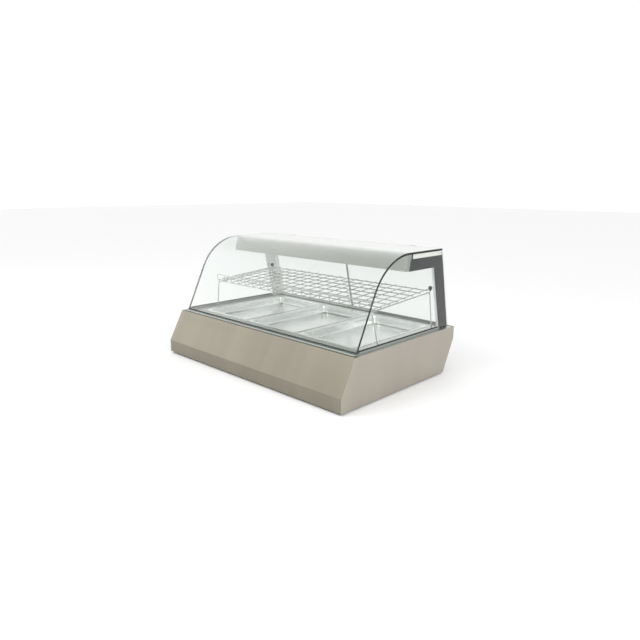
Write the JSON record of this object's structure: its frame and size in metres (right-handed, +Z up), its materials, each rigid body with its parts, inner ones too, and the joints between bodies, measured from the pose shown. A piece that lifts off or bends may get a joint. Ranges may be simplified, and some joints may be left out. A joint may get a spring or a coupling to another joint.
{
  "type": "hot food display case",
  "caption": "Countertop heated display case with a lift-up curved front glass, flat side panes, sliding rear doors, wire shelf and pans in a heated well.",
  "frame": {"origin": "centre of the bounding box's footprint, on the surface the feet stand on", "axes": "+Z up, +X along the width to the right seen from the customer's side, +Y from the curved glass towards the service side with the doors"},
  "size_m": [1.18, 0.8, 0.579],
  "materials": {
    "champagne_steel": "fine vertical grain, satin",
    "stainless": "brushed",
    "pan_steel": "bright satin",
    "aluminium": "satin anodised",
    "anthracite": "matt powder coat",
    "cream_enamel": "semi gloss",
    "grey_fascia": "satin",
    "glass": "clear toughened",
    "rubber": "matt",
    "black_plastic": "fine texture",
    "white_plastic": "smooth",
    "lamp_glass": "frosted",
    "heater_sheath": "heat-dulled",
    "mineral_wool": "matt fibre",
    "wire_chrome": "bright plated"
  },
  "bodies": {
    "cabinet": {"base_floor": "stainless", "cable_gland": "black_plastic", "deck": "stainless", "door_bottom_track": "aluminium", "fascia": "grey_fascia", "foot_front_left": "rubber", "foot_front_right": "rubber", "foot_rear_left": "rubber", "foot_rear_right": "rubber", "front_glass_seal": "rubber", "front_ledge": "aluminium", "front_panel": "champagne_steel", "front_sill": "aluminium", "heating_element_left": "heater_sheath", "heating_element_right": "heater_sheath", "hinge_leaf_left": "stainless", "hinge_leaf_right": "stainless", "hinge_pin_left": "stainless", "hinge_pin_right": "stainless", "lamp_housing": "cream_enamel", "lamp_reflector": "pan_steel", "lamp_socket_left": "white_plastic", "lamp_socket_right": "white_plastic", "lamp_tube": "lamp_glass", "left_end_frame": "stainless", "left_end_panel": "champagne_steel", "left_glass_seal": "rubber", "left_post_cover": "anthracite", "left_side_glass": "glass", "left_sill": "aluminium", "rear_panel": "champagne_steel", "rear_top_rail": "aluminium", "right_end_frame": "stainless", "right_end_panel": "champagne_steel", "right_glass_seal": "rubber", "right_post_cover": "anthracite", "right_side_glass": "glass", "right_sill": "aluminium", "temperature_display": "black_plastic", "thermostat_body": "white_plastic", "well_insulation": "mineral_wool", "well_tub": "stainless"},
    "front_glass": {"curved_glass": "glass", "glass_clamp_left": "stainless", "glass_clamp_right": "stainless"},
    "left_door": {"left_door_glass": "glass", "left_door_edge": "aluminium"},
    "right_door": {"right_door_glass": "glass", "right_door_edge": "aluminium"},
    "thermostat_knob": {"thermostat_knob": "black_plastic"},
    "heat_switch": {"heat_switch": "black_plastic"},
    "light_switch": {"light_switch": "black_plastic"},
    "pan_left": {"pan_left": "pan_steel"},
    "pan_centre": {"pan_centre": "pan_steel"},
    "pan_right": {"pan_right": "pan_steel"},
    "shelf": {"shelf_grid": "wire_chrome", "shelf_legs_left": "wire_chrome", "shelf_legs_right": "wire_chrome", "shelf_bumper_left": "rubber", "shelf_bumper_right": "rubber"}
  },
  "joints": [
    {"name": "front_glass_lift", "type": "hinge", "parent": "cabinet", "child": "front_glass", "pos_m": [0, 0.293, 0.574], "axis": [-1, 0, 0], "range_deg": [0, 45]},
    {"name": "left_door_slide", "type": "slide", "parent": "cabinet", "child": "left_door", "axis": [1, 0, 0], "range_m": [0, 0.5]},
    {"name": "right_door_slide", "type": "slide", "parent": "cabinet", "child": "right_door", "axis": [-1, 0, 0], "range_m": [0, 0.5]},
    {"name": "thermostat_turn", "type": "hinge", "parent": "cabinet", "child": "thermostat_knob", "pos_m": [-0.42, 0.38, 0.185], "axis": [0, 1, 0], "range_deg": [0, 270]},
    {"name": "heat_switch_rock", "type": "hinge", "parent": "cabinet", "child": "heat_switch", "pos_m": [-0.252, 0.376, 0.185], "axis": [1, 0, 0], "range_deg": [0, 12]},
    {"name": "light_switch_rock", "type": "hinge", "parent": "cabinet", "child": "light_switch", "pos_m": [-0.214, 0.376, 0.185], "axis": [1, 0, 0], "range_deg": [0, 12]},
    {"name": "pan_left_lift", "type": "slide", "parent": "cabinet", "child": "pan_left", "axis": [0, 0, 1], "range_m": [0, 0.08]},
    {"name": "pan_centre_lift", "type": "slide", "parent": "cabinet", "child": "pan_centre", "axis": [0, 0, 1], "range_m": [0, 0.08]},
    {"name": "pan_right_lift", "type": "slide", "parent": "cabinet", "child": "pan_right", "axis": [0, 0, 1], "range_m": [0, 0.08]},
    {"name": "shelf_lift", "type": "slide", "parent": "cabinet", "child": "shelf", "axis": [0, 0, 1], "range_m": [0, 0.08]}
  ]
}
